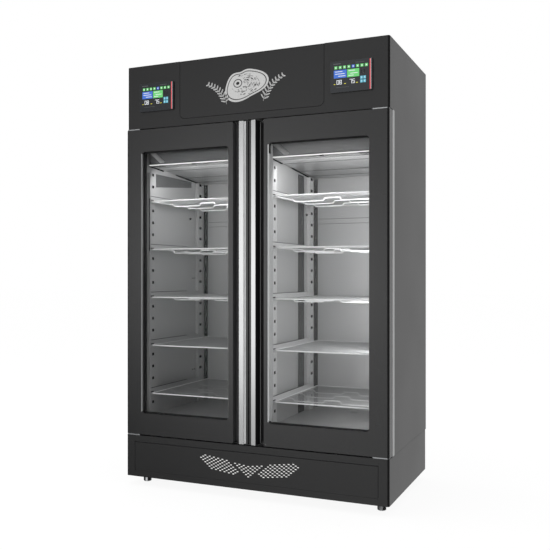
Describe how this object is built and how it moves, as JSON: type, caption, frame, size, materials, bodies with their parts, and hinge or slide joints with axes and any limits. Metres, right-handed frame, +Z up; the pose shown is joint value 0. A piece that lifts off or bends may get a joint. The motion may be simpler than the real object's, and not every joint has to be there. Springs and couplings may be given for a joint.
{
  "type": "dry aging cabinet",
  "caption": "Tall free-standing dry aging cabinet: two glazed doors over a divided stainless chamber with wire shelves, on a vented machine base.",
  "frame": {"origin": "centre of the bounding box on the floor under the feet", "axes": "+X to the right seen from the front, +Y to the back, +Z up"},
  "size_m": [1.342, 0.735, 2.08],
  "materials": {
    "dark_paint": "satin",
    "stainless": "satin",
    "bright_steel": "satin",
    "shelf_wire": "polished",
    "zinc": "satin",
    "black_rubber": "matte",
    "glazing": "gloss",
    "black_enamel": "satin",
    "black_plastic": "matte",
    "display_plastic": "gloss"
  },
  "bodies": {
    "cabinet": {"back_panel": "dark_paint", "back_wall": "stainless", "base_deck": "dark_paint", "base_side_left": "dark_paint", "base_side_right": "dark_paint", "base_tray": "dark_paint", "ceiling_panel": "stainless", "compressor": "black_enamel", "condenser": "zinc", "control_box": "zinc", "display_left": "display_plastic", "display_right": "display_plastic", "evaporator_left": "stainless", "evaporator_right": "stainless", "floor_panel": "stainless", "foot_front_left": "bright_steel", "foot_front_right": "bright_steel", "foot_rear_left": "bright_steel", "foot_rear_right": "bright_steel", "header_fascia_left": "dark_paint", "header_fascia_right": "dark_paint", "header_strip": "dark_paint", "hinge_bottom_left": "zinc", "hinge_bottom_right": "zinc", "hinge_top_left": "zinc", "hinge_top_right": "zinc", "partition": "stainless", "rack_inner_left": "stainless", "rack_inner_right": "stainless", "rack_outer_left": "stainless", "rack_outer_right": "stainless", "shelf_left_1": "shelf_wire", "shelf_left_2": "shelf_wire", "shelf_left_3": "shelf_wire", "shelf_left_4": "shelf_wire", "shelf_left_5": "shelf_wire", "shelf_right_1": "shelf_wire", "shelf_right_2": "shelf_wire", "shelf_right_3": "shelf_wire", "shelf_right_4": "shelf_wire", "shelf_right_5": "shelf_wire", "side_panel_left": "dark_paint", "side_panel_right": "dark_paint", "top_panel": "dark_paint", "wall_left": "stainless", "wall_right": "stainless"},
    "door_left": {"door_frame_left": "dark_paint", "door_glass_left": "glazing", "door_gasket_left": "black_rubber", "door_handle_left": "bright_steel"},
    "door_right": {"door_frame_right": "dark_paint", "door_glass_right": "glazing", "door_gasket_right": "black_rubber", "door_handle_right": "bright_steel"},
    "hatch": {"hatch": "dark_paint"},
    "service_panel": {"service_panel": "dark_paint"},
    "condenser_fan": {"condenser_fan": "black_plastic"},
    "evaporator_fan_left": {"evaporator_fan_left": "black_plastic"},
    "evaporator_fan_right": {"evaporator_fan_right": "black_plastic"}
  },
  "joints": [
    {"name": "door_left_swing", "type": "hinge", "parent": "cabinet", "child": "door_left", "pos_m": [-0.657, -0.3255, 1.009], "axis": [0, 0, -1], "range_deg": [0, 110]},
    {"name": "door_right_swing", "type": "hinge", "parent": "cabinet", "child": "door_right", "pos_m": [0.657, -0.3255, 1.009], "axis": [0, 0, 1], "range_deg": [0, 110]},
    {"name": "hatch_lift", "type": "hinge", "parent": "cabinet", "child": "hatch", "pos_m": [0, -0.347, 2.0775], "axis": [-1, 0, 0], "range_deg": [0, 85]},
    {"name": "service_panel_drop", "type": "hinge", "parent": "cabinet", "child": "service_panel", "pos_m": [0, -0.3572, 0.0745], "axis": [1, 0, 0], "range_deg": [0, 90]},
    {"name": "condenser_fan_spin", "type": "hinge", "parent": "cabinet", "child": "condenser_fan", "pos_m": [0, -0.2195, 0.1168], "axis": [0, 1, 0], "continuous": true},
    {"name": "evaporator_fan_left_spin", "type": "hinge", "parent": "cabinet", "child": "evaporator_fan_left", "pos_m": [-0.3355, 0.2235, 1.6352], "axis": [0, 1, 0], "continuous": true},
    {"name": "evaporator_fan_right_spin", "type": "hinge", "parent": "cabinet", "child": "evaporator_fan_right", "pos_m": [0.3355, 0.2235, 1.6352], "axis": [0, 1, 0], "continuous": true}
  ]
}
